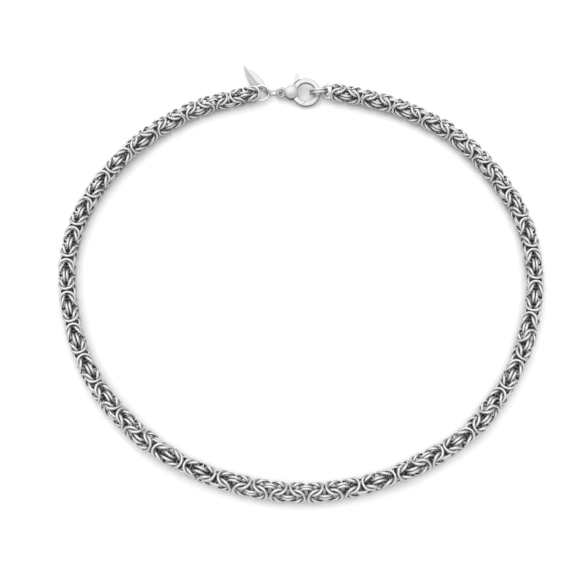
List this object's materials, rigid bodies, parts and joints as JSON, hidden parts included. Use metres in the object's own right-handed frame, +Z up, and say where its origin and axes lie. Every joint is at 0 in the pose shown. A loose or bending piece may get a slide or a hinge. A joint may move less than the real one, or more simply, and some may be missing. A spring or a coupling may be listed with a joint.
{
  "type": "chain necklace",
  "caption": "Silver byzantine chain necklace lying closed in an oval, with a sprung trigger clasp, a jump ring and a small leaf charm.",
  "frame": {"origin": "middle of the neck opening, on the table the necklace lies on", "axes": "+Z up, +Y from the middle of the neck opening to the clasp, +X to the right of someone who faces the clasp"},
  "size_m": [0.1719, 0.1675, 0.0071],
  "materials": {
    "chain_silver": "silver with dark oxide left in the recesses",
    "end_ring_silver": "polished silver wire",
    "polished_silver": "polished silver wire",
    "clasp_silver": "polished cast silver",
    "lever_silver": "polished cast silver",
    "charm_silver": "polished silver"
  },
  "bodies": {
    "necklace": {"chain": "chain_silver", "left_end_ring": "end_ring_silver", "clasp_ring": "polished_silver", "charm_ring": "polished_silver", "leaf_charm": "charm_silver", "clasp_body": "clasp_silver", "hook_ring_front": "end_ring_silver", "hook_ring_back": "end_ring_silver", "right_end_ring_front": "end_ring_silver", "right_end_ring_back": "end_ring_silver"},
    "lever": {"clasp_lever": "lever_silver"}
  },
  "joints": [
    {"name": "clasp_lever_hinge", "type": "hinge", "parent": "necklace", "child": "lever", "pos_m": [-0.0033, 0.0745, 0.00235], "axis": [0, -0.2588, 0.9659], "range_deg": [0, 25], "stiffness_Nm_per_rad": 0.01, "springref_deg": -20.05}
  ]
}
